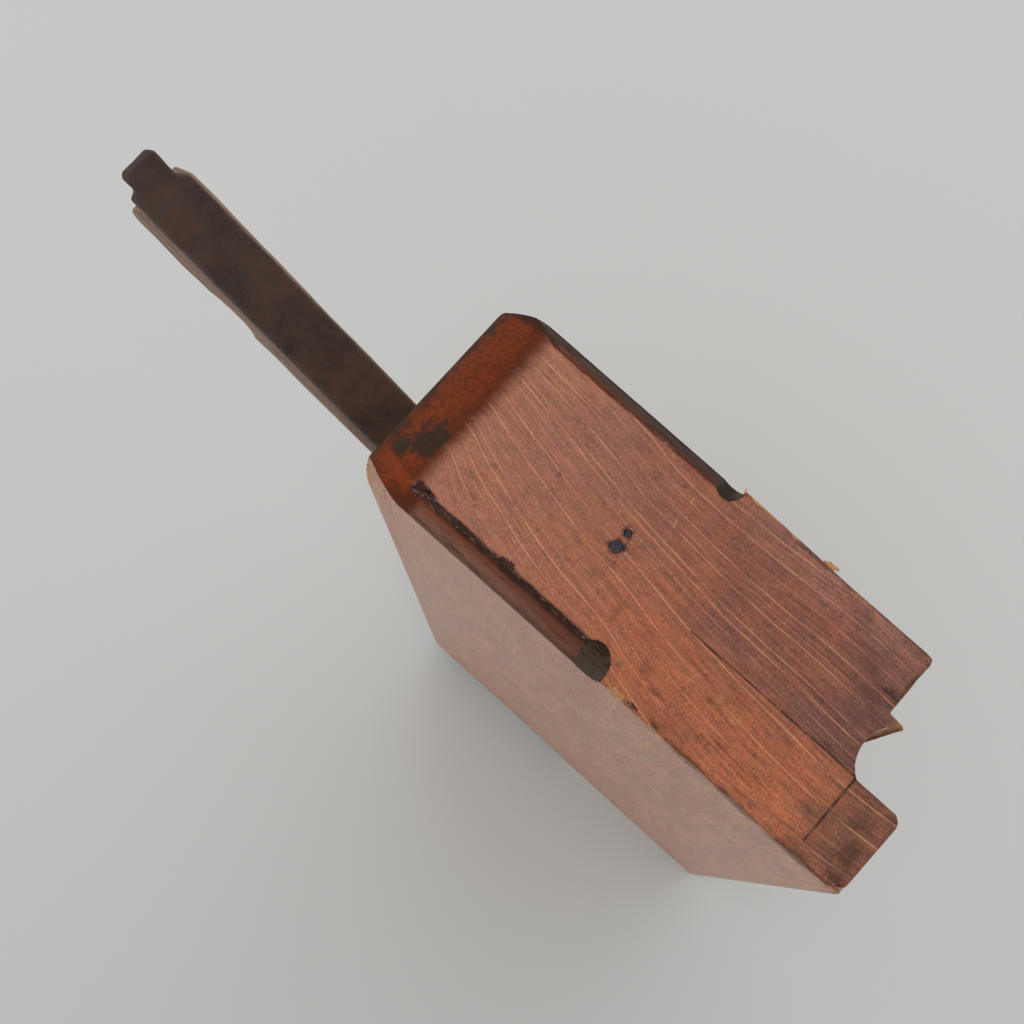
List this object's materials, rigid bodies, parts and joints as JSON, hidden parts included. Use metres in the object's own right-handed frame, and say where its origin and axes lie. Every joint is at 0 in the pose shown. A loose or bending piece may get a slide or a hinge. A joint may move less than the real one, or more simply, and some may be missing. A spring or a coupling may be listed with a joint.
{
  "type": "moulding plane",
  "caption": "Old wooden side bead moulding plane standing on its toe, with a stock, a rusty iron on a steep bed, a long wedge and a boxwood quirk slip.",
  "frame": {"origin": "centre of the toe end face, on which the plane stands", "axes": "+Z from the toe up to the heel, +X from the sole to the top of the stock (up when the plane is in use), +Y to the plane's left side, where the fence is"},
  "size_m": [0.1582, 0.0326, 0.241],
  "materials": {
    "beech": "old reddish-brown oiled beech",
    "rusted_iron": "dark brown rust patina",
    "wedge_wood": "dull worn beech",
    "boxwood": "worn honey-coloured boxwood",
    "brad_iron": "blackened iron"
  },
  "bodies": {
    "stock": {"stock": "beech", "slip_toe": "boxwood", "slip_heel": "boxwood", "brad_large": "brad_iron", "brad_small": "brad_iron"},
    "iron": {"iron": "rusted_iron"},
    "wedge": {"wedge": "wedge_wood"}
  },
  "joints": [
    {"name": "iron_slide", "type": "slide", "parent": "stock", "child": "iron", "axis": [-0.8192, 0, -0.5736], "range_m": [-0.003, 0.13]},
    {"name": "wedge_slide", "type": "slide", "parent": "stock", "child": "wedge", "axis": [0.8192, 0, 0.5736], "range_m": [0, 0.064]}
  ]
}
